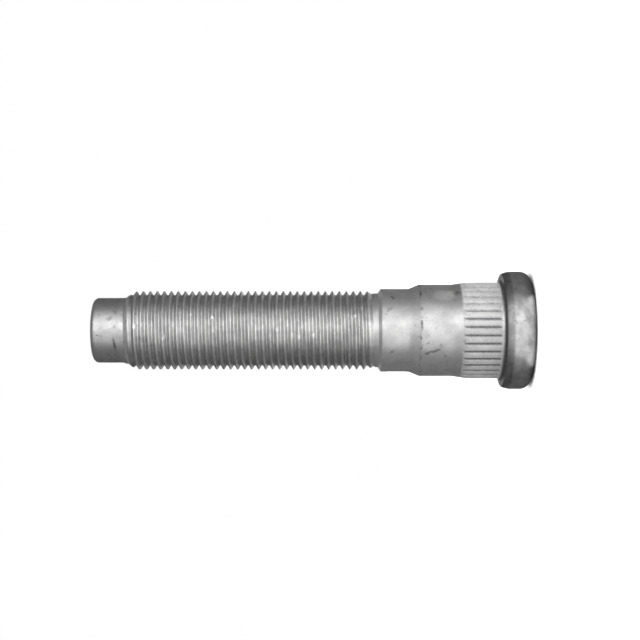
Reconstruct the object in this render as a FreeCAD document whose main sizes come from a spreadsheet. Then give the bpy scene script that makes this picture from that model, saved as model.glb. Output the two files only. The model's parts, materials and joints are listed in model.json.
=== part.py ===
"""Press-in wheel stud: one forged steel piece with a head, a serrated neck, a collar and a rolled thread.

The stud stands on its head. The axis is +Z, and the origin is the centre of the head's outer face.
"""
import FreeCAD, Part
import math
import os
import Sketcher

NODE = "wheel_stud"

# Driving sizes in millimetres and degrees, under the names that the formulas use.
SIZES = {
    "overall_length": 87.9,
    "head_dia": 23.7,
    "head_thickness": 5.9,
    "head_face_round": 2.2,
    "rim_crown_height": 1.85,
    "rim_crown_drop": 0.5,
    "seat_edge_round": 0.3,
    "neck_root_round": 0.6,
    "knurl_dia": 19.4,
    "knurl_length": 7.5,
    "knurl_flare_inside": 1.0,
    "knurl_flare_outside": 1.8,
    "serration_count": 36,
    "serration_depth": 0.42,
    "serration_angle": 90,
    "collar_drop": 0.45,
    "collar_length": 8.4,
    "collar_edge_round": 0.4,
    "taper_length": 2.1,
    "taper_root_round": 2.0,
    "shank_dia": 16.75,
    "shank_length": 5.6,
    "shank_edge_round": 0.3,
    "shoulder_length": 0.6,
    "blank_drop": 0.47,
    "blank_length": 1.0,
    "thread_dia": 15.84,
    "threads_per_inch": 18,
    "thread_depth": 0.82,
    "thread_angle": 60,
    "crest_land": 0.176,
    "cutter_overshoot": 0.05,
    "runout_length": 1.3,
    "runout_growth": 0.6,
    "lead_length": 2.7,
    "lead_root_round": 2.0,
    "tip_clearance": 0.565,
    "tip_length": 6.1,
    "tip_round": 1.1,
}

# Sizes that follow from the driving ones: radii, heights above the head's face, widths and slopes.
DERIVED = {
    "head_radius": "head_dia / 2",
    "seat_radius": "head_radius - rim_crown_drop",
    "knurl_radius": "knurl_dia / 2",
    "collar_radius": "knurl_radius - collar_drop",
    "shank_radius": "shank_dia / 2",
    "crest_radius": "thread_dia / 2",
    "blank_radius": "crest_radius - blank_drop",
    "root_radius": "crest_radius - thread_depth",
    "tip_radius": "root_radius - tip_clearance",
    "crown_start": "head_thickness - rim_crown_height",
    "knurl_start": "head_thickness + neck_root_round",
    "knurl_top": "knurl_start + knurl_length",
    "flare_start": "knurl_top - knurl_flare_inside",
    "flare_end": "knurl_top + knurl_flare_outside",
    "collar_top": "knurl_top + collar_length",
    "taper_top": "collar_top + taper_length",
    "shank_top": "taper_top + shank_length",
    "blank_start": "shank_top + shoulder_length",
    "blank_end": "blank_start + blank_length",
    "thread_start": "blank_end + runout_length",
    "tip_start": "overall_length - tip_length",
    "lead_start": "tip_start - lead_length",
    "pitch": "25.4 / threads_per_inch",
    "flank_slope": "tan(thread_angle / 2 * 1deg)",
    "root_flat": "pitch - crest_land - 2 * thread_depth * flank_slope",
    "cutter_radius": "crest_radius + cutter_overshoot",
    "cutter_open": "root_flat + 2 * (thread_depth + cutter_overshoot) * flank_slope",
    "serration_root": "knurl_radius - serration_depth",
    "serration_edge": "knurl_radius + cutter_overshoot",
    "serration_open": "2 * (serration_depth + cutter_overshoot) * tan(serration_angle / 2 * 1deg)",
}

# The turned outline from the head's face to the tip: each corner's radius and height.
BLANK_CORNERS = {
    "face_centre": ("0", "0"),
    "face_edge": ("sizes.head_radius", "0"),
    "rim_crown": ("sizes.head_radius", "sizes.crown_start"),
    "seat_edge": ("sizes.seat_radius", "sizes.head_thickness"),
    "neck_root": ("sizes.knurl_radius", "sizes.head_thickness"),
    "flare_start": ("sizes.knurl_radius", "sizes.flare_start"),
    "flare_end": ("sizes.collar_radius", "sizes.flare_end"),
    "collar_edge": ("sizes.collar_radius", "sizes.collar_top"),
    "taper_root": ("sizes.shank_radius", "sizes.taper_top"),
    "shank_edge": ("sizes.shank_radius", "sizes.shank_top"),
    "blank_start": ("sizes.blank_radius", "sizes.blank_start"),
    "blank_end": ("sizes.blank_radius", "sizes.blank_end"),
    "crest_start": ("sizes.crest_radius", "sizes.thread_start"),
    "crest_end": ("sizes.crest_radius", "sizes.lead_start"),
    "lead_root": ("sizes.tip_radius", "sizes.tip_start"),
    "tip_edge": ("sizes.tip_radius", "sizes.overall_length"),
    "tip_centre": ("0", "sizes.overall_length"),
}

# Rounded edges: each size of round, and the corner of the outline that it softens.
ROUNDS = {
    "head_face_round": "face_edge",
    "seat_edge_round": "seat_edge",
    "neck_root_round": "neck_root",
    "collar_edge_round": "collar_edge",
    "taper_root_round": "taper_root",
    "shank_edge_round": "shank_edge",
    "lead_root_round": "lead_root",
    "tip_round": "tip_edge",
}

# The notch between two teeth of the neck, across the axis.
SERRATION_CORNERS = {
    "root": ("sizes.serration_root", "0"),
    "right": ("sizes.serration_edge", "-sizes.serration_open / 2"),
    "left": ("sizes.serration_edge", "sizes.serration_open / 2"),
}

# The groove between two thread crests, in the plane of the axis.
GROOVE_CORNERS = {
    "root_low": ("sizes.root_radius", "sizes.thread_start - sizes.root_flat / 2"),
    "open_low": ("sizes.cutter_radius", "sizes.thread_start - sizes.cutter_open / 2"),
    "open_high": ("sizes.cutter_radius", "sizes.thread_start + sizes.cutter_open / 2"),
    "root_high": ("sizes.root_radius", "sizes.thread_start + sizes.root_flat / 2"),
}

doc = FreeCAD.newDocument("WheelStud")


def fill_sheet():
    """Writes the driving sizes as plain numbers and the derived ones as formulas."""
    sheet = doc.addObject("Spreadsheet::Sheet", "sizes")
    for row, (name, value) in enumerate({**SIZES, **DERIVED}.items(), start=1):
        sheet.set(f"A{row}", name)
        sheet.set(f"B{row}", f"={value}" if name in DERIVED else str(value))
        sheet.setAlias(f"B{row}", name)
    doc.recompute()


def new_sketch(body, name, role):
    """Starts a sketch on one of the body's own origin planes."""
    plane = next(item for item in body.Origin.OriginFeatures if item.Role == role)
    sketch = body.newObject("Sketcher::SketchObject", name)
    sketch.AttachmentSupport = [(plane, "")]
    sketch.MapMode = "FlatFace"
    return sketch


def bind_point(sketch, side, across, along):
    """Ties the first end of a side to two formulas, measured from the sketch's origin."""
    for kind, axis, formula in (("DistanceX", -2, across), ("DistanceY", -1, along)):
        if formula == "0":
            sketch.addConstraint(Sketcher.Constraint("PointOnObject", side, 1, axis))
            continue
        distance = sketch.evalExpression(formula)
        number = sketch.addConstraint(Sketcher.Constraint(kind, -1, 1, side, 1, distance))
        sketch.setExpression(f"Constraints[{number}]", formula)


def inward_arc(first, last):
    """An arc that leaves first straight up and bends towards the axis until it meets last."""
    rise = last.y - first.y
    drop = first.x - last.x
    radius = (rise ** 2 + drop ** 2) / (2 * drop)
    centre = first - FreeCAD.Vector(radius, 0, 0)
    circle = Part.Circle(centre, FreeCAD.Vector(0, 0, 1), radius)
    return Part.ArcOfCircle(circle, 0, math.atan2(rise, radius - drop))


def draw_outline(sketch, corners, arc_from=None):
    """Draws a closed outline through named corners, each a pair of formulas.

    The side that starts at the corner named arc_from is an arc, tangent to the side before it.
    """
    names = list(corners)
    places = [FreeCAD.Vector(sketch.evalExpression(across), sketch.evalExpression(along), 0)
              for across, along in corners.values()]
    following = places[1:] + places[:1]
    for name, first, last in zip(names, places, following):
        side = inward_arc(first, last) if name == arc_from else Part.LineSegment(first, last)
        sketch.addGeometry(side)
    for side, name in enumerate(names):
        kind = "Tangent" if name == arc_from else "Coincident"
        before = (side - 1) % len(names)
        sketch.addConstraint(Sketcher.Constraint(kind, before, 2, side, 1))
    for side, (across, along) in enumerate(corners.values()):
        bind_point(sketch, side, across, along)
    doc.recompute()


def turn_blank(body):
    """Turns the stud's outline about its axis."""
    sketch = new_sketch(body, "blank_outline", "XZ_Plane")
    draw_outline(sketch, BLANK_CORNERS, "rim_crown")
    turned = body.newObject("PartDesign::Revolution", "blank")
    turned.Profile = sketch
    turned.ReferenceAxis = (sketch, ["V_Axis"])
    turned.Angle = 360
    doc.recompute()


def ring_edge(shape, radius, height):
    """Names the circular edge that lies nearest to that radius and height."""
    rings = [(abs(edge.Curve.Center.z - height) + abs(edge.Curve.Radius - radius), number)
             for number, edge in enumerate(shape.Edges, start=1) if isinstance(edge.Curve, Part.Circle)]
    return f"Edge{min(rings)[1]}"


def round_edges(body):
    """Softens the corners of the outline, one feature for each size of round."""
    for size, corner in ROUNDS.items():
        base = body.Tip
        radius, height = (base.evalExpression(formula) for formula in BLANK_CORNERS[corner])
        fillet = body.newObject("PartDesign::Fillet", corner + "_fillet")
        fillet.Base = (base, [ring_edge(base.Shape, radius, height)])
        fillet.setExpression("Radius", f"sizes.{size}")
        doc.recompute()


def cut_serrations(body):
    """Cuts the notches between the teeth that bite into the hub's hole."""
    sketch = new_sketch(body, "serration_notch", "XY_Plane")
    sketch.setExpression("AttachmentOffset.Base.z", "sizes.knurl_start")
    draw_outline(sketch, SERRATION_CORNERS)
    notch = body.newObject("PartDesign::Pocket", "serration")
    notch.Profile = sketch
    notch.Reversed = True
    notch.setExpression("Length", "sizes.knurl_length")
    doc.recompute()
    ring = body.newObject("PartDesign::PolarPattern", "serration_ring")
    ring.Originals = [notch]
    ring.Axis = (sketch, ["N_Axis"])
    ring.Angle = 360
    ring.setExpression("Occurrences", "sizes.serration_count")
    body.Tip = ring
    doc.recompute()


def cut_groove(body, name, height, growth, downward):
    """Cuts one right-hand helical groove whose radius grows by growth in each turn."""
    sketch = new_sketch(body, name + "_outline", "XZ_Plane")
    draw_outline(sketch, GROOVE_CORNERS)
    groove = body.newObject("PartDesign::SubtractiveHelix", name)
    groove.Profile = sketch
    groove.ReferenceAxis = (sketch, ["V_Axis"])
    groove.Mode = "pitch-height-angle"
    groove.setExpression("Pitch", "sizes.pitch")
    groove.setExpression("Height", height)
    groove.setExpression("Angle", f"atan({growth} / sizes.pitch)")
    groove.LeftHanded = False
    groove.Reversed = downward
    doc.recompute()


def check_document(body):
    """Stops before anything is written if a feature failed, cut nothing or left more than one solid."""
    failed = [item.Name for item in doc.Objects if {"Invalid", "Error"} & set(item.State)]
    if failed:
        raise RuntimeError(f"these objects failed: {failed}")
    if body.Shape.isNull() or not body.Shape.isValid() or len(body.Shape.Solids) != 1:
        raise RuntimeError("the stud is not one valid solid")
    volumes = [doc.getObject(name).Shape.Volume for name in ("blank", "serration_ring", "thread", "runout")]
    if volumes != sorted(volumes, reverse=True) or len(set(volumes)) != len(volumes):
        raise RuntimeError(f"a cut removed nothing: {volumes}")


fill_sheet()
stud = doc.addObject("PartDesign::Body", NODE)
stud.Label = NODE
stud.Placement = FreeCAD.Placement()
turn_blank(stud)
round_edges(stud)
cut_serrations(stud)
cut_groove(stud, "thread", "sizes.tip_start - sizes.thread_start", "0", False)
cut_groove(stud, "runout", "sizes.pitch", "sizes.runout_growth", True)
check_document(stud)

os.makedirs("parts", exist_ok=True)
stud.Shape.exportStep(f"parts/{NODE}.step")
print(f"{NODE}: {stud.Shape.Volume:.1f} cubic mm")
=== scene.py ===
# %% [markdown]
# # A press-in wheel stud
# The stud is one piece of forged steel: a round head, a serrated neck that bites into the hub, a
# plain collar and shank, a long rolled thread and a smooth tip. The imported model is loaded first,
# because every shape below has to sit where it says. The stud stands on its head, along +Z.

# %% Load the frame
import json
import math
import random

import bmesh
import bpy
from mathutils import Matrix, Vector


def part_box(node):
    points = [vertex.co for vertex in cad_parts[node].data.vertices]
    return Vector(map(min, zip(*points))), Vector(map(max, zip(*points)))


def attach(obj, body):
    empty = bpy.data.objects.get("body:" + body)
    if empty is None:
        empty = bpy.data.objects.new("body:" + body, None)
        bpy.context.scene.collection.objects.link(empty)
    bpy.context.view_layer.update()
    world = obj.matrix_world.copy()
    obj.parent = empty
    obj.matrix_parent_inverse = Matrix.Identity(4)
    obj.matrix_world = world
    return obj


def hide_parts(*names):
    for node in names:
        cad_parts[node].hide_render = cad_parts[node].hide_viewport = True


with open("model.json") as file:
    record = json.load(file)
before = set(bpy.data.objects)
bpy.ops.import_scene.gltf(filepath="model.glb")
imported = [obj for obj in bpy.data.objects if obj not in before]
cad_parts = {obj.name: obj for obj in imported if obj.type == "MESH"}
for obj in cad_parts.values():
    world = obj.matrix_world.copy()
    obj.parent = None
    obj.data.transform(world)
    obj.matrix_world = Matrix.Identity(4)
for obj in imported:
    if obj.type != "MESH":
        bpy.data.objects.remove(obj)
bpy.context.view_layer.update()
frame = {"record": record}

MM = 0.001
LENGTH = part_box("wheel_stud")[1][2] / MM
print("stud length", round(LENGTH, 2), "mm")

# %% [markdown]
# ## Sizes
# The head's radius, the seat, the neck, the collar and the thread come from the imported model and
# its mounts. The other sizes are the small ones that a drawing of the stud would give. They are in
# millimetres, and the finished mesh is scaled to metres.

# %% Sizes of the head, neck, collar and shank
mounts = {mount["name"]: mount for mount in frame["record"]["mounts"]}
HEAD_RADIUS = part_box("wheel_stud")[1][0] / MM
SEAT_Z = mounts["seat"]["pos_m"][2] / MM
KNURL_RADIUS = mounts["serrated_neck"]["dims"]["r_mm"]
KNURL_LENGTH = mounts["serrated_neck"]["dims"]["length_mm"]
COLLAR_RADIUS = mounts["collar"]["dims"]["r_mm"]
FACE_ROUND, SEAT_ROUND, NECK_ROUND = 2.2, 0.3, 0.6
CROWN_HEIGHT, CROWN_DROP = 1.85, 0.5
TOOTH_DEPTH, TEETH = 0.42, 36
FLARE_INSIDE, FLARE_OUTSIDE, FLARE_ROUND = 1.0, 1.8, 3.0
COLLAR_LENGTH, COLLAR_EDGE_ROUND = 8.4, 0.4
TAPER_LENGTH, TAPER_ROUND = 2.1, 2.0
SHANK_RADIUS, SHANK_LENGTH, SHANK_EDGE_ROUND = 8.375, 5.6, 0.3

KNURL_START = SEAT_Z + NECK_ROUND
KNURL_TOP = KNURL_START + KNURL_LENGTH
COLLAR_TOP = KNURL_TOP + COLLAR_LENGTH
TAPER_TOP = COLLAR_TOP + TAPER_LENGTH
SHANK_TOP = TAPER_TOP + SHANK_LENGTH
print("shank ends at", round(SHANK_TOP, 2), "mm")

# %% Sizes of the thread and the tip
CREST_RADIUS = mounts["thread"]["dims"]["r_mm"]
INCH, THREADS_PER_INCH = 25.4, 18
PITCH = INCH / THREADS_PER_INCH
THREAD_DEPTH, CREST_LAND = 0.82, 0.176
BLANK_DROP, BLANK_LENGTH, BLANK_ROUND = 0.47, 1.0, 0.25
BLANK_RADIUS = CREST_RADIUS - BLANK_DROP
SHOULDER_LENGTH = 0.6
RUNOUT_LENGTH, RUNOUT_GROWTH, RUNOUT_ROUND = 1.3, 0.6, 0.8
LEAD_LENGTH, LEAD_EDGE_ROUND, LEAD_ROOT_ROUND = 2.7, 0.6, 2.0
TIP_RADIUS, TIP_LENGTH, TIP_ROUND = 6.535, 6.1, 1.1

BLANK_START = SHANK_TOP + SHOULDER_LENGTH
BLANK_END = BLANK_START + BLANK_LENGTH
THREAD_START = BLANK_END + RUNOUT_LENGTH
TIP_START = LENGTH - TIP_LENGTH
LEAD_START = TIP_START - LEAD_LENGTH
print("thread from", round(THREAD_START, 2), "to", round(LEAD_START, 2), "mm, pitch", round(PITCH, 4))

# %% Where the three meshed stretches meet
BLANK_STUB, TIP_OVERLAP = 0.4, 1.6
THREAD_LOW = BLANK_START + BLANK_STUB
THREAD_HIGH = TIP_START + TIP_OVERLAP
COLUMNS_PER_TOOTH = 5
STEPS = COLUMNS_PER_TOOTH * TEETH
MERGE_POINTS, MERGE_TURNS, MERGE_STRETCHES = 1e-4, 1e-3, 2e-3
print("wound mesh from", round(THREAD_LOW, 2), "to", round(THREAD_HIGH, 2), "mm,", STEPS, "steps round")

# %% [markdown]
# ## A rounded outline
# A turned part is one outline spun about its axis. Each corner is given with the radius of its
# round, and the first helper replaces it by a short arc between the two straight sides, so the
# outline holds only the points that its shape needs. The second helper does the spinning.


# %% Corner rounding and spinning
def rounded(corners, arc_steps=5):
    """Turns (radius, height, round) corners into points, with an arc for each round."""
    points = []
    for number, (radius, height, size) in enumerate(corners):
        corner = Vector((radius, height))
        if not size:
            points.append(corner)
            continue
        before = (Vector(corners[number - 1][:2]) - corner).normalized()
        after = (Vector(corners[number + 1][:2]) - corner).normalized()
        half = before.angle(after) / 2
        reach = size / math.tan(half)
        centre = corner + (before + after).normalized() * (size / math.sin(half))
        first = corner + before * reach - centre
        last = corner + after * reach - centre
        sweep = first.angle_signed(last)
        for step in range(arc_steps + 1):
            part = sweep * step / arc_steps
            points.append(centre + Matrix.Rotation(-part, 2) @ first)
    return points


def spun(points, mesh):
    """Adds an outline of (radius, height) points to a bmesh and spins it about +Z."""
    verts = [mesh.verts.new((point[0], 0, point[1])) for point in points]
    edges = [mesh.edges.new(pair) for pair in zip(verts, verts[1:])]
    bmesh.ops.spin(mesh, geom=verts + edges, axis=(0, 0, 1), cent=(0, 0, 0),
                   angle=math.tau, steps=STEPS, use_merge=True)


# %% [markdown]
# ## Head, neck, collar and shank
# The head is a thick disc with a rolled rim: the edge of its outer face is well rounded, and its
# upper half leans in a little towards the seat. Above the seat come the neck, the flared collar,
# a taper, the plain shank and the bare blank that the thread starts from. The straight sides get
# extra rings, because pressing the teeth moves points and needs enough of them.


# %% Helpers for the lower body
def crown_points(steps=4):
    """The rim's upper half: an arc that leaves the rim straight up and leans in to the seat."""
    radius = (CROWN_HEIGHT ** 2 + CROWN_DROP ** 2) / (2 * CROWN_DROP)
    sweep = math.asin(CROWN_HEIGHT / radius)
    centre = Vector((HEAD_RADIUS - radius, SEAT_Z - CROWN_HEIGHT))
    return [centre + radius * Vector((math.cos(sweep * step / steps), math.sin(sweep * step / steps)))
            for step in range(steps)]


def ringed(first, last, spacing):
    """Points along a straight side, about one spacing apart, without its two ends."""
    count = max(1, round((last - first).length / spacing))
    return [first.lerp(last, step / count) for step in range(1, count)]


def with_rings(points, spacing):
    """The outline with extra points on its longer sides."""
    out = [points[0]]
    for first, last in zip(points, points[1:]):
        out += ringed(first, last, spacing) + [last]
    return out


# %% Outline of the lower body
RING_SPACING = 0.45
head_points = rounded([
    (0, 0, 0),
    (HEAD_RADIUS, 0, FACE_ROUND),
    (HEAD_RADIUS, SEAT_Z - CROWN_HEIGHT, 0),
], arc_steps=10)[:-1] + crown_points()
neck_points = rounded([
    tuple(head_points[-1]) + (0,),
    (HEAD_RADIUS - CROWN_DROP, SEAT_Z, SEAT_ROUND),
    (KNURL_RADIUS, SEAT_Z, NECK_ROUND),
    (KNURL_RADIUS, KNURL_TOP - FLARE_INSIDE, FLARE_ROUND),
    (COLLAR_RADIUS, KNURL_TOP + FLARE_OUTSIDE, FLARE_ROUND),
    (COLLAR_RADIUS, COLLAR_TOP, COLLAR_EDGE_ROUND),
    (SHANK_RADIUS, TAPER_TOP, TAPER_ROUND),
    (SHANK_RADIUS, SHANK_TOP, SHANK_EDGE_ROUND),
    (BLANK_RADIUS, BLANK_START, BLANK_ROUND),
    (BLANK_RADIUS, THREAD_LOW, 0),
])
body_points = with_rings(head_points + neck_points[1:], RING_SPACING)
print("lower body outline", len(body_points), "points")

# %% Spin the lower body
stud = bmesh.new()
spun(body_points, stud)
bmesh.ops.remove_doubles(stud, verts=stud.verts, dist=MERGE_POINTS)
print("lower body", len(stud.faces), "faces")

# %% [markdown]
# ## Serrations
# The neck's teeth are pressed in, with a V notch between each pair. The spin has five columns of
# points for each tooth, so the columns are slid sideways to the notch's root and edges, and the
# root is pushed in. Near both ends the notch gets shallower within half a millimetre.

# %% Where the columns of a notch go
TOOTH_ANGLE = math.tau / TEETH
EDGE_INNER, EDGE_OUTER = math.radians(2.25), math.radians(2.95)
EDGE_SINK = 0.045


def notch_column(angle):
    """The new angle and the sink of the tooth column nearest to this angle."""
    tooth = round(angle / TOOTH_ANGLE)
    offset = angle - tooth * TOOTH_ANGLE
    column = round(offset / (TOOTH_ANGLE / COLUMNS_PER_TOOTH))
    side = math.copysign(1, column)
    target = {0: 0, 1: EDGE_INNER, 2: EDGE_OUTER}[abs(column)] * side
    sink = {0: TOOTH_DEPTH, 1: EDGE_SINK, 2: 0}[abs(column)]
    return tooth * TOOTH_ANGLE + target, sink


# %% Press the notches
NOTCH_FADE = 0.45
HEIGHT_SLACK = 1e-4
pressed = 0
for vert in stud.verts:
    radius = math.hypot(vert.co.x, vert.co.y)
    inside = min(vert.co.z - KNURL_START, KNURL_TOP - vert.co.z)
    if inside < -HEIGHT_SLACK:
        continue
    amount = min(1, max(0, inside / NOTCH_FADE))
    angle, sink = notch_column(math.atan2(vert.co.y, vert.co.x))
    root = KNURL_RADIUS - sink
    radius = radius + (min(radius, root) - radius) * amount
    vert.co.x = radius * math.cos(angle)
    vert.co.y = radius * math.sin(angle)
    pressed += 1
print("points of the teeth", pressed)

# %% [markdown]
# ## Thread
# A rolled thread is one groove wound round the blank. One pitch of its profile, from groove to
# groove over a crest, is spun through a single turn while it climbs by one pitch. Copies of that
# turn stack up exactly, so merging their shared edges gives the whole thread.

# %% Profile of one pitch
ROOT_RADIUS = CREST_RADIUS - THREAD_DEPTH
FLANK_DEGREES = 30
FLANK_SLOPE = math.tan(math.radians(FLANK_DEGREES))
ROOT_HALF = (PITCH - CREST_LAND) / 2 - THREAD_DEPTH * FLANK_SLOPE
EASE = 0.07
EASE_LIP = EASE / 5
ROOT_BEND, CREST_BEND = 0.7, 0.32


def half_profile():
    """From the middle of a groove up to the middle of a crest: (radius, height) points."""
    crest = PITCH / 2
    flank_low = (ROOT_RADIUS + EASE, ROOT_HALF + EASE * FLANK_SLOPE)
    flank_high = (CREST_RADIUS - EASE, crest - CREST_LAND / 2 - EASE * FLANK_SLOPE)
    return [(ROOT_RADIUS, 0), (ROOT_RADIUS + EASE_LIP, ROOT_HALF * ROOT_BEND), flank_low, flank_high,
            (CREST_RADIUS - EASE_LIP, crest - CREST_LAND * CREST_BEND), (CREST_RADIUS, crest)]


rising = half_profile()
falling = [(radius, PITCH - height) for radius, height in reversed(rising[:-1])]
pitch_points = rising + falling
print("points in a pitch", len(pitch_points))

# %% Wind one turn, then stack the turns
FIRST_TURN = math.floor((THREAD_LOW - THREAD_START) / PITCH) - 1
LAST_TURN = math.ceil((THREAD_HIGH - THREAD_START) / PITCH) + 1
thread = bmesh.new()
profile = [thread.verts.new((radius, 0, THREAD_START + FIRST_TURN * PITCH + height))
           for radius, height in pitch_points]
profile_edges = [thread.edges.new(pair) for pair in zip(profile, profile[1:])]
bmesh.ops.spin(thread, geom=profile + profile_edges, axis=(0, 0, 1), cent=(0, 0, 0),
               dvec=(0, 0, PITCH / STEPS), angle=math.tau, steps=STEPS, use_merge=False)
one_turn = thread.verts[:] + thread.edges[:] + thread.faces[:]
for number in range(1, LAST_TURN - FIRST_TURN):
    copied = bmesh.ops.duplicate(thread, geom=one_turn)["geom"]
    copied_verts = [item for item in copied if isinstance(item, bmesh.types.BMVert)]
    bmesh.ops.translate(thread, verts=copied_verts, vec=(0, 0, number * PITCH))
bmesh.ops.remove_doubles(thread, verts=thread.verts, dist=MERGE_TURNS)
print("wound thread", len(thread.faces), "faces")

# %% [markdown]
# ## Run-out and lead
# A real thread fades at both ends: the groove gets shallow near the shank, and a cone leads the nut
# in at the tip. So each point of the winding is kept inside the blank's outline. Where the outline
# cuts the crests away, the rolled groove still shows as a faint mark.

# %% The blank's outline along the thread
sleeve = rounded([
    (BLANK_RADIUS, THREAD_LOW, 0),
    (BLANK_RADIUS, BLANK_END, RUNOUT_ROUND),
    (CREST_RADIUS, THREAD_START, RUNOUT_ROUND),
    (CREST_RADIUS, LEAD_START, LEAD_EDGE_ROUND),
    (TIP_RADIUS, TIP_START, LEAD_ROOT_ROUND),
    (TIP_RADIUS, THREAD_HIGH, 0),
])
print("blank outline", len(sleeve), "points")


def sleeve_radius(height):
    """Radius of the blank's outline at a height inside the thread's span."""
    for first, last in zip(sleeve, sleeve[1:]):
        if height <= last[1]:
            part = (height - first[1]) / (last[1] - first[1])
            return first[0] + (last[0] - first[0]) * max(0, part)
    return sleeve[-1][0]


# %% Keep the thread inside the outline
ROLL_MARK, ROLL_FADE = 0.16, 0.3
for vert in thread.verts:
    angle = math.atan2(vert.co.y, vert.co.x) % math.tau
    turns = round((vert.co.z - THREAD_START) / PITCH - angle / math.tau) + angle / math.tau
    wound_radius = vert.co.xy.length
    below_crest = (CREST_RADIUS - wound_radius) / THREAD_DEPTH
    height = min(max(vert.co.z, THREAD_LOW), THREAD_HIGH)
    inside = min(1, (height - THREAD_LOW) / ROLL_FADE, (TIP_START - height) / ROLL_FADE)
    roll_mark = ROLL_MARK * below_crest * max(0, inside)
    radius = min(wound_radius + RUNOUT_GROWTH * max(0, -turns), sleeve_radius(height) - roll_mark)
    vert.co = (radius * math.cos(angle), radius * math.sin(angle), height)
print("thread kept between", round(THREAD_LOW, 2), "and", round(THREAD_HIGH, 2), "mm")

# %% [markdown]
# ## Nicks
# Loose studs knock against each other, so the thin crests of their threads get small nicks. Each
# nick here presses the crest points near a random spot inwards, most at its middle. The seed is
# fixed, so the same nicks come out in every run.

# %% Nick the crests
NICKS, NICK_SEED = 90, 5
NICK_REACH, NICK_DEPTH, SHALLOWEST = 0.55, 0.22, 0.4
CREST_BAND = EASE / 4
dice = random.Random(NICK_SEED)
crests = [vert for vert in thread.verts if vert.co.xy.length > CREST_RADIUS - CREST_BAND]
for struck in dice.sample(crests, NICKS):
    spot = struck.co.copy()
    depth = NICK_DEPTH * dice.uniform(SHALLOWEST, 1)
    for vert in crests:
        near = 1 - (vert.co - spot).length / NICK_REACH
        if near > 0:
            vert.co.xy *= 1 - depth * near / CREST_RADIUS
bmesh.ops.remove_doubles(thread, verts=thread.verts, dist=MERGE_POINTS)
bmesh.ops.dissolve_degenerate(thread, dist=MERGE_POINTS, edges=thread.edges)
print("finished thread", len(thread.faces), "faces")

# %% [markdown]
# ## Tip
# The smooth tip guides the nut onto the thread. It is spun with as many steps as the thread has in
# a turn, so its first ring meets the thread's last one point for point. The same holds where the
# thread meets the lower body, so merging close points closes the whole stud.

# %% Spin the tip and join the three stretches
tip_points = with_rings(rounded([
    (TIP_RADIUS, THREAD_HIGH, 0),
    (TIP_RADIUS, LENGTH, TIP_ROUND),
    (0, LENGTH, 0),
], arc_steps=8), RING_SPACING)
tip = bmesh.new()
spun(tip_points, tip)
for stretch in (thread, tip):
    stretch_mesh = bpy.data.meshes.new("stretch")
    stretch.to_mesh(stretch_mesh)
    stud.from_mesh(stretch_mesh)
    stretch.free()
    bpy.data.meshes.remove(stretch_mesh)
bmesh.ops.remove_doubles(stud, verts=stud.verts, dist=MERGE_STRETCHES)
bmesh.ops.recalc_face_normals(stud, faces=stud.faces)
open_edges = [edge for edge in stud.edges if not edge.is_manifold]
print("stud", len(stud.faces), "faces, open edges", len(open_edges))

# %% The stud's object
bmesh.ops.scale(stud, vec=(MM, MM, MM), verts=stud.verts)
for face in stud.faces:
    face.smooth = True
stud_mesh = bpy.data.meshes.new("wheel_stud_forged")
stud.to_mesh(stud_mesh)
stud.free()
stud_object = bpy.data.objects.new("wheel_stud_forged", stud_mesh)
bpy.context.collection.objects.link(stud_object)
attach(stud_object, "root")
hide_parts("wheel_stud")
print("triangles", sum(len(face.vertices) - 2 for face in stud_mesh.polygons))

# %% [markdown]
# ## Coated steel
# The stud has a thin silver-grey coat, matt and blotchy. One grey tone is built up as a product:
# each layer below multiplies it by a number near one, lighter or darker. Everything is measured in
# the stud's own coordinates, so the finish stays in place however the stud is turned.

# %% The material
steel = bpy.data.materials.new("coated_steel")
steel.use_nodes = True
steel_nodes = steel.node_tree.nodes
steel_links = steel.node_tree.links
steel_shader = steel_nodes["Principled BSDF"]
place = steel_nodes.new("ShaderNodeTexCoord").outputs["Object"]
NOISE_ROUGHNESS = 0.6


# %% Node helpers
def feed(socket, value):
    """Links an output to a socket, or writes a plain number into it."""
    if isinstance(value, bpy.types.NodeSocket):
        steel_links.new(value, socket)
    else:
        socket.default_value = value


def noise(grain_mm, detail, output="Fac"):
    """Noise whose grains are about this many millimetres across."""
    node = steel_nodes.new("ShaderNodeTexNoise")
    node.inputs["Scale"].default_value = 1 / (grain_mm * MM)
    node.inputs["Detail"].default_value = detail
    node.inputs["Roughness"].default_value = NOISE_ROUGHNESS
    steel_links.new(place, node.inputs["Vector"])
    return node.outputs[output]


def fade(value, low, high, start=0.0, end=1.0):
    """Takes a value from low to high over to start to end, with soft ends."""
    node = steel_nodes.new("ShaderNodeMapRange")
    node.interpolation_type = "SMOOTHSTEP"
    feed(node.inputs["Value"], value)
    feed(node.inputs["From Min"], low)
    feed(node.inputs["From Max"], high)
    feed(node.inputs["To Min"], start)
    feed(node.inputs["To Max"], end)
    return node.outputs["Result"]


def combine(operation, first, second):
    """One math node on two values."""
    node = steel_nodes.new("ShaderNodeMath")
    node.operation = operation
    feed(node.inputs[0], first)
    feed(node.inputs[1], second)
    return node.outputs["Value"]


def multiply(*values):
    """The product of any number of values."""
    product = values[0]
    for value in values[1:]:
        product = combine("MULTIPLY", product, value)
    return product


def weighed(mask, amount):
    """One where the mask is zero, and the amount where the mask is one."""
    return combine("ADD", multiply(mask, combine("SUBTRACT", amount, 1)), 1)


def vector_node(operation):
    """A vector math node."""
    node = steel_nodes.new("ShaderNodeVectorMath")
    node.operation = operation
    return node
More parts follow.
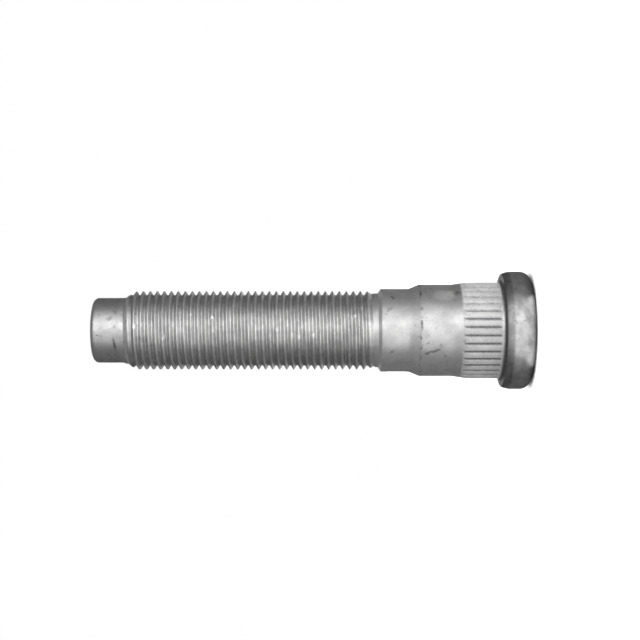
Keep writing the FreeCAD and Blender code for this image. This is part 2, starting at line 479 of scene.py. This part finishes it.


# %% [markdown]
# ## Zones along the stud
# The head, the teeth and the thread each have a look of their own, so each gets a mask made from the
# height. The distance from the axis tells a thread's crest from its groove. The teeth get painted shade
# that is lightest on the lit side, towards the top of the camera's picture, so the distance towards that
# side is taken as well.

# %% Height, distance from the axis and distance towards the lit side
CAMERA_TURN = math.radians(35.8)
# The lit side faces the top of the camera's picture, where the teeth get the least painted shade.
lit_side = Vector((-math.sin(CAMERA_TURN), math.cos(CAMERA_TURN), 0))
parts_of_place = steel_nodes.new("ShaderNodeSeparateXYZ")
steel_links.new(place, parts_of_place.inputs["Vector"])
height_up = parts_of_place.outputs["Z"]
flattened = vector_node("MULTIPLY")
flattened.inputs[1].default_value = (1, 1, 0)
steel_links.new(place, flattened.inputs[0])
from_axis = vector_node("LENGTH")
steel_links.new(flattened.outputs["Vector"], from_axis.inputs[0])
radius_out = from_axis.outputs["Value"]
sideways = vector_node("DOT_PRODUCT")
sideways.inputs[1].default_value = lit_side
steel_links.new(place, sideways.inputs[0])
across = sideways.outputs["Value"]


def zone(low_mm, high_mm, soft_mm=0.3):
    """A mask that is one between two heights."""
    above = fade(height_up, (low_mm - soft_mm) * MM, (low_mm + soft_mm) * MM)
    below = fade(height_up, (high_mm - soft_mm) * MM, (high_mm + soft_mm) * MM, start=1.0, end=0.0)
    return multiply(above, below)


def by_radius(low_mm, high_mm, start, end):
    """A tone that goes from start to end between two distances from the axis."""
    return fade(radius_out, low_mm * MM, high_mm * MM, start, end)


# %% Zones
WELL_PAST = 5
TEETH_FRINGE = 0.2
EDGE_HALF = 0.25
CROWN_LIFT, SEAT_BELOW, SEAT_ABOVE = 0.4, 0.3, 0.4
LEAD_LOW, LEAD_HIGH = TIP_START - 2.2, TIP_START - 1.55
FOLD_LOW, FOLD_HIGH = TIP_START - 1.32, TIP_START - 0.84
THREAD_SHORT, TIP_INSET, SHOULDER_OVER = 0.8, 0.4, 0.1
head_zone = zone(-WELL_PAST, SEAT_Z)
crown_zone = zone(SEAT_Z - CROWN_HEIGHT + CROWN_LIFT, SEAT_Z + SEAT_ABOVE)
seat_zone = zone(SEAT_Z - SEAT_BELOW, SEAT_Z + SEAT_ABOVE, soft_mm=0.15)
teeth_zone = zone(KNURL_START, KNURL_TOP + TEETH_FRINGE)
collar_edge_zone = zone(COLLAR_TOP - EDGE_HALF, COLLAR_TOP + EDGE_HALF, soft_mm=0.25)
plain_zone = zone(KNURL_TOP + TEETH_FRINGE, BLANK_END)
shoulder_zone = zone(SHANK_TOP, BLANK_START + SHOULDER_OVER, soft_mm=0.15)
thread_zone = zone(BLANK_END, TIP_START - THREAD_SHORT, soft_mm=0.6)
lead_zone = zone(LEAD_LOW, LEAD_HIGH, soft_mm=0.15)
fold_zone = zone(FOLD_LOW, FOLD_HIGH, soft_mm=0.15)
tip_zone = zone(TIP_START + TIP_INSET, LENGTH + WELL_PAST, soft_mm=0.4)
print("nodes for the zones", len(steel_nodes))

# %% [markdown]
# ## Blotches, grain and specks
# The coat is uneven in three sizes: wide cloudy blotches, fine grain, and small dark specks where
# dirt has stuck. The specks come in loose patches, and more of them sit along the collar's edge.

# %% Layers of the whole coat
clouds = noise(grain_mm=3.2, detail=5)
grain = noise(grain_mm=0.35, detail=3)
speck_noise = noise(grain_mm=0.9, detail=4)
patches = noise(grain_mm=7.0, detail=3)
cloud_tone = fade(clouds, low=0.3, high=0.72, start=0.86, end=1.1)
grain_tone = fade(grain, low=0.25, high=0.75, start=0.93, end=1.06)
specks = multiply(fade(speck_noise, low=0.6, high=0.68), fade(patches, low=0.42, high=0.62))
speck_tone = weighed(specks, amount=0.66)
edge_specks = multiply(collar_edge_zone, fade(speck_noise, low=0.47, high=0.58))
edge_tone = weighed(edge_specks, amount=0.55)
coat_layers = [cloud_tone, grain_tone, speck_tone, edge_tone]
print("layers of the whole coat", len(coat_layers))

# %% [markdown]
# ## Looks of the single zones
# The head is darker than the shank, and its underside carries painted shade. The notches between the
# teeth carry painted shade, deepest at their floor and away from the lit side, with a few dark specks of
# dirt. The thread's grooves carry painted shade and its crests a painted highlight, and the plain
# stretches and the tip are toned down. Three narrow rings at the thread's ends, the shoulder, the lead
# and the fold, are lighter or darker as well; the lead's darker ring is painted shade and the fold's
# lighter ring is painted light.

# %% Head and teeth
NOTCH_FLOOR, NOTCH_EDGE = KNURL_RADIUS - 0.34, KNURL_RADIUS - 0.1
TOOTH_EDGE, TOOTH_TOP = KNURL_RADIUS - 0.06, KNURL_RADIUS - 0.01
blotches = fade(noise(grain_mm=2.0, detail=6), low=0.3, high=0.7, start=0.66, end=0.94)
head_blotch = weighed(head_zone, blotches)
# Painted shade: the crown and the seat on the head's underside are darkened where they would otherwise
# shine.
crown_painted_shade = weighed(crown_zone, amount=0.62)
seat_painted_shade = weighed(seat_zone, amount=0.85)
# Painted shade: the notches darken towards their floor and away from the lit side, and the teeth darken
# away from it too; only the specks are dirt.
notch_side_shade = fade(across, low=2.6 * MM, high=5.4 * MM, start=0.27, end=0.72)
notch_painted_shade = by_radius(NOTCH_FLOOR, NOTCH_EDGE, start=notch_side_shade, end=0.82)
below_teeth = by_radius(TOOTH_EDGE, TOOTH_TOP, start=1.0, end=0.0)
notch_specks = multiply(fade(noise(grain_mm=0.5, detail=4), low=0.54, high=0.6), below_teeth)
teeth_side_shade = fade(across, low=-9 * MM, high=4 * MM, start=0.66, end=1.0)
teeth_shade_and_specks = multiply(notch_painted_shade, teeth_side_shade, weighed(notch_specks, amount=0.7))
teeth_tone = weighed(teeth_zone, teeth_shade_and_specks)
coat_layers += [head_blotch, crown_painted_shade, seat_painted_shade, teeth_tone]
print("layers with the head and teeth", len(coat_layers))

# %% Thread, shank and tip
GROOVE_TOP = ROOT_RADIUS + 0.1
# Painted shade in the thread's grooves and a painted highlight on its crests, set by the distance from
# the axis; the noise patches are dirt.
groove_shade_crest_highlight = by_radius(GROOVE_TOP, CREST_RADIUS, start=0.99, end=1.12)
thread_dirt = fade(noise(grain_mm=1.5, detail=5), low=0.34, high=0.64, start=0.88, end=1.04)
thread_tone = weighed(thread_zone, multiply(groove_shade_crest_highlight, thread_dirt))
plain_tone = weighed(plain_zone, amount=0.86)
shoulder_tone = weighed(shoulder_zone, amount=1.15)
# Painted shade on the lead's ring, over a bright reflection, and painted light on the fold's ring, over a
# dark one.
lead_painted_shade = weighed(lead_zone, amount=0.85)
fold_painted_light = weighed(fold_zone, amount=1.45)
tip_tone = weighed(tip_zone, amount=0.88)
coat_layers += [thread_tone, plain_tone, shoulder_tone, lead_painted_shade, fold_painted_light, tip_tone]
print("layers with the thread, shank and tip", len(coat_layers))

# %% [markdown]
# ## Marks from handling
# A few scratches and smudges sit in particular spots. Each is a stretched ball laid on the surface:
# a mapping node moves the coordinates into the mark's own frame, where the ball has radius one.
# A little noise in the coordinates makes the outlines ragged.

# %% Marks: height, turn from the front, half length, half width, lean and how dark they are
MARKS = {
    "collar scratch": (20.0, -26, 1.9, 0.28, 15, 0.5),
    "collar nick": (21.3, -29, 0.5, 0.55, 0, 0.45),
    "collar scuff": (17.6, 50, 2.8, 1.9, 5, -0.5),
    "flare stain": (15.2, 52, 0.8, 0.9, 0, 0.4),
    "shank scratch": (27.9, 51, 0.25, 0.8, 20, 0.5),
    "shank rub": (28.6, 30, 0.9, 0.35, 40, 0.3),
    "shank smudge": (28.2, -30, 0.7, 0.45, 30, 0.28),
    "tip squiggle": (83.0, -25, 0.35, 1.6, 8, 0.55),
    "tip smudge": (84.0, 21, 0.7, 0.5, 0, 0.32),
    "tip rub": (82.9, 33, 0.4, 0.8, 25, 0.28),
    "rim stain": (2.0, 15, 0.9, 2.0, 10, 0.3),
    "rim rub": (1.4, -12, 0.6, 1.4, 0, 0.3),
}
print("marks", len(MARKS))

# %% Ragged coordinates
RAGGED = 0.9
RAGGED_MEAN = Vector((RAGGED / 2, RAGGED / 2, RAGGED / 2))
ragged = vector_node("MULTIPLY_ADD")
ragged.inputs[1].default_value = (RAGGED * MM, RAGGED * MM, RAGGED * MM)
steel_links.new(noise(grain_mm=0.7, detail=4, output="Color"), ragged.inputs[0])
steel_links.new(place, ragged.inputs[2])

# %% Lay the marks on the stud
MARK_THICKNESS = 1.5
body_radius = [(point.y, point.x) for point in body_points] + [(LENGTH, TIP_RADIUS)]


def mark_tone(height_mm, turn_deg, half_length, half_width, lean_deg, dark):
    """One away from the mark, and darker inside it, or lighter where dark is negative."""
    turn = CAMERA_TURN + math.radians(turn_deg)
    radius = next(point_radius for point_height, point_radius in body_radius if point_height >= height_mm)
    normal = Vector((math.cos(turn), math.sin(turn), 0))
    around = Vector((-math.sin(turn), math.cos(turn), 0))
    lean = math.radians(lean_deg)
    along = Vector((0, 0, -1)) * math.cos(lean) + around * math.sin(lean)
    axes = Matrix((along, normal.cross(along), normal)).transposed()
    centre = normal * radius + Vector((0, 0, height_mm)) + RAGGED_MEAN
    frame_of_mark = steel_nodes.new("ShaderNodeMapping")
    frame_of_mark.vector_type = "TEXTURE"
    frame_of_mark.inputs["Location"].default_value = centre * MM
    frame_of_mark.inputs["Rotation"].default_value = axes.to_euler()
    frame_of_mark.inputs["Scale"].default_value = Vector((half_length, half_width, MARK_THICKNESS)) * MM
    steel_links.new(ragged.outputs["Vector"], frame_of_mark.inputs["Vector"])
    distance = vector_node("LENGTH")
    steel_links.new(frame_of_mark.outputs["Vector"], distance.inputs[0])
    return fade(distance.outputs["Value"], low=0.5, high=1.1, start=1 - dark, end=1.0)


coat_layers += [mark_tone(*values) for values in MARKS.values()]
print("layers with the marks", len(coat_layers))

# %% [markdown]
# ## Shader
# The layers meet in one metal shader. The tone goes through a ramp that keeps darks a touch cool
# and lights a touch warm. The teeth are less of a mirror than the rest, so they look paler and more
# even, and the seat is kept from shining where it is seen along its face.

# %% Colour
COAT_TONE = 0.5
COOL_DARK, WARM_LIGHT = (0.0, 0.0, 0.004, 1), (1.0, 1.0, 0.99, 1)
tint = steel_nodes.new("ShaderNodeValToRGB")
tint.color_ramp.elements[0].color = COOL_DARK
tint.color_ramp.elements[1].color = WARM_LIGHT
steel_links.new(multiply(*coat_layers, COAT_TONE), tint.inputs["Fac"])
steel_links.new(tint.outputs["Color"], steel_shader.inputs["Base Color"])
print("colour joined from", len(coat_layers), "layers")

# %% Shine and relief
EDGE_SHINE = 0.5
RELIEF_STRENGTH, RELIEF_DEPTH = 0.6, 0.03
SPECK_ROUGHNESS, SPECK_RELIEF = 0.15, 0.8
metal = multiply(weighed(teeth_zone, amount=0.25), weighed(plain_zone, amount=0.9))
cloud_roughness = fade(clouds, low=0.3, high=0.7, start=0.5, end=0.42)
feed(steel_shader.inputs["Metallic"], metal)
feed(steel_shader.inputs["Roughness"], combine("ADD", cloud_roughness, multiply(specks, SPECK_ROUGHNESS)))
feed(steel_shader.inputs["Specular Tint"], multiply(weighed(seat_zone, amount=0.4), EDGE_SHINE))
relief = steel_nodes.new("ShaderNodeBump")
relief.inputs["Strength"].default_value = RELIEF_STRENGTH
relief.inputs["Distance"].default_value = RELIEF_DEPTH * MM
uneven = combine("ADD", grain, clouds)
feed(relief.inputs["Height"], combine("SUBTRACT", uneven, multiply(specks, SPECK_RELIEF)))
steel_links.new(relief.outputs["Normal"], steel_shader.inputs["Normal"])
stud_mesh.materials.append(steel)
print("nodes in the coat", len(steel_nodes))

# %% [markdown]
# ## Camera
# The photograph looks square at the stud's side, with the head to the right. The stud stands
# upright here, so the camera is beside it and lies on its side: the right of its picture is -Z.
# The picture's scale and the place of the stud in it were measured in the photograph.

# %% Camera
PIXELS_PER_MM = 4.9486
PICTURE = 640
HEAD_FACE_X, AXIS_Y = 529.4, 330.3
EYE_PIXELS = 1400
SENSOR = 36
NEAR_CLIP = 0.01
CAMERA_DISTANCE = EYE_PIXELS / PIXELS_PER_MM
outward = Vector((math.cos(CAMERA_TURN), math.sin(CAMERA_TURN), 0))
picture_right = Vector((0, 0, -1))
picture_up = outward.cross(picture_right)
centre_z = (HEAD_FACE_X - PICTURE / 2) / PIXELS_PER_MM
centre_up = (AXIS_Y - PICTURE / 2) / PIXELS_PER_MM
camera_data = bpy.data.cameras.new("camera")
camera_data.sensor_width = SENSOR
camera_data.lens = SENSOR * CAMERA_DISTANCE * PIXELS_PER_MM / PICTURE
camera_data.clip_start = NEAR_CLIP
camera = bpy.data.objects.new("camera", camera_data)
bpy.context.collection.objects.link(camera)
eye = outward * CAMERA_DISTANCE + picture_up * centre_up + Vector((0, 0, centre_z))
camera_axes = Matrix((picture_right, picture_up, outward)).transposed().to_4x4()
camera.matrix_world = Matrix.Translation(eye * MM) @ camera_axes
bpy.context.scene.camera = camera
print("lens", round(camera_data.lens, 1), "mm")

# %% [markdown]
# ## Floor and room
# The stud stands on a plain pale floor in a white room. The room's even white light fills the
# shadows, and the floor keeps the stud's own soft shadow. From here on, sizes are in metres.


# %% Floor and room
def plain_material(name, grey, roughness):
    """A material of one grey, without a texture."""
    material = bpy.data.materials.new(name)
    material.use_nodes = True
    shader = material.node_tree.nodes["Principled BSDF"]
    shader.inputs["Base Color"].default_value = (grey, grey, grey, 1)
    shader.inputs["Roughness"].default_value = roughness
    return material


FLOOR_RADIUS, FLOOR_SEGMENTS = 0.7, 64
floor_mesh = bmesh.new()
bmesh.ops.create_circle(floor_mesh, cap_ends=True, segments=FLOOR_SEGMENTS, radius=FLOOR_RADIUS)
floor_data = bpy.data.meshes.new("floor")
floor_mesh.to_mesh(floor_data)
floor_mesh.free()
floor_data.materials.append(plain_material("pale_floor", grey=0.9, roughness=0.8))
floor = bpy.data.objects.new("floor", floor_data)
bpy.context.collection.objects.link(floor)
world = bpy.data.worlds.new("white_room")
world.use_nodes = True
world.node_tree.nodes["Background"].inputs["Color"].default_value = (1, 1, 1, 1)
world.node_tree.nodes["Background"].inputs["Strength"].default_value = 1.0
bpy.context.scene.world = world
bpy.context.scene.view_settings.view_transform = "Standard"
print("floor radius", FLOOR_RADIUS, "m")

# %% [markdown]
# ## Lamps
# One soft lamp near the camera gives the bright band along the stud, and a weaker one behind it
# keeps the back from going flat. A wide lamp overhead lights the floor. It is hidden from
# reflections, so the steel doesn't mirror it.

# %% Lamps
LAMP_TILT = math.radians(22)
LAMP_LIFT = 0.2


def soft_lamp(name, direction, distance, size, power, lift=0):
    """A rectangular lamp out in a direction from the stud, raised by the lift, shining back."""
    data = bpy.data.lights.new(name, "AREA")
    data.shape = "RECTANGLE"
    data.size, data.size_y = size
    data.energy = power
    lamp = bpy.data.objects.new(name, data)
    bpy.context.collection.objects.link(lamp)
    lamp.location = direction * distance + Vector((0, 0, LENGTH * MM / 2 + lift))
    lamp.rotation_euler = direction.to_track_quat("Z", "Y").to_euler()
    lamp.visible_camera = False
    return lamp


key_direction = (outward * math.cos(LAMP_TILT) + picture_up * math.sin(LAMP_TILT)).normalized()
soft_lamp("key", key_direction, distance=0.6, size=(0.3, 0.9), power=2.3, lift=LAMP_LIFT)
soft_lamp("back", -outward, distance=0.6, size=(0.2, 0.9), power=1.2, lift=LAMP_LIFT)
overhead = soft_lamp("overhead", Vector((0, 0, 1)), distance=1.2, size=(1.6, 1.6), power=24)
overhead.visible_glossy = False
print("overhead lamp at", round(overhead.location.z, 2), "m")

# %% [markdown]
# ## Dark cards
# A photographer sets black cards beside a shiny part, because a round bar in a white room mirrors
# white all over and loses its edges. These cards do the same. Only reflections see them, so they
# cast no shadow and don't show in the picture from any side.


# %% Card helpers
CARD_STEPS = 60
CARD_HEIGHT = 0.22
card_dark = plain_material("dark_card", grey=0.12, roughness=1.0)


def from_camera(angle):
    """The level direction at an angle from the camera, turning towards the picture's top."""
    return outward * math.cos(angle) + picture_up * math.sin(angle)


def card_object(name, card_mesh):
    """Turns a card's bmesh into an object that only reflections see."""
    data = bpy.data.meshes.new(name)
    card_mesh.to_mesh(data)
    card_mesh.free()
    data.materials.append(card_dark)
    card = bpy.data.objects.new(name, data)
    bpy.context.collection.objects.link(card)
    card.visible_camera = False
    card.visible_diffuse = False
    card.visible_shadow = False


def round_card(name, radius, lift, front_gap):
    """A level card round the stud, left open towards the camera by an angle on each side."""
    card_mesh = bmesh.new()
    sweep = math.tau - 2 * front_gap
    rim = [from_camera(front_gap + sweep * step / CARD_STEPS) * radius for step in range(CARD_STEPS + 1)]
    outline = [card_mesh.verts.new(point) for point in rim + [Vector((0, 0, 0))]]
    card_mesh.faces.new(outline)
    bmesh.ops.translate(card_mesh, verts=outline, vec=(0, 0, lift))
    card_object(name, card_mesh)


def upright_card(name, near, far):
    """An upright card between two spots: (degrees from the camera, distance)."""
    card_mesh = bmesh.new()
    spots = [from_camera(math.radians(degrees)) * distance for degrees, distance in (near, far)]
    edge = card_mesh.edges.new([card_mesh.verts.new(spot) for spot in spots])
    raised = bmesh.ops.extrude_edge_only(card_mesh, edges=[edge])["geom"]
    raised_verts = [item for item in raised if isinstance(item, bmesh.types.BMVert)]
    bmesh.ops.translate(card_mesh, verts=raised_verts, vec=(0, 0, CARD_HEIGHT))
    card_object(name, card_mesh)


# %% Set the cards
CARD_NEAR, CARD_FAR = 0.07, 0.2
round_card("lid", radius=0.13, lift=CARD_HEIGHT, front_gap=math.radians(1))
round_card("floor_card", radius=0.07, lift=0.0001, front_gap=math.radians(40))
upright_card("upper_card", near=(60, CARD_NEAR), far=(158, CARD_FAR))
upright_card("lower_card", near=(-42, CARD_NEAR), far=(-158, CARD_FAR))
print("cards set round the stud, height", CARD_HEIGHT, "m")
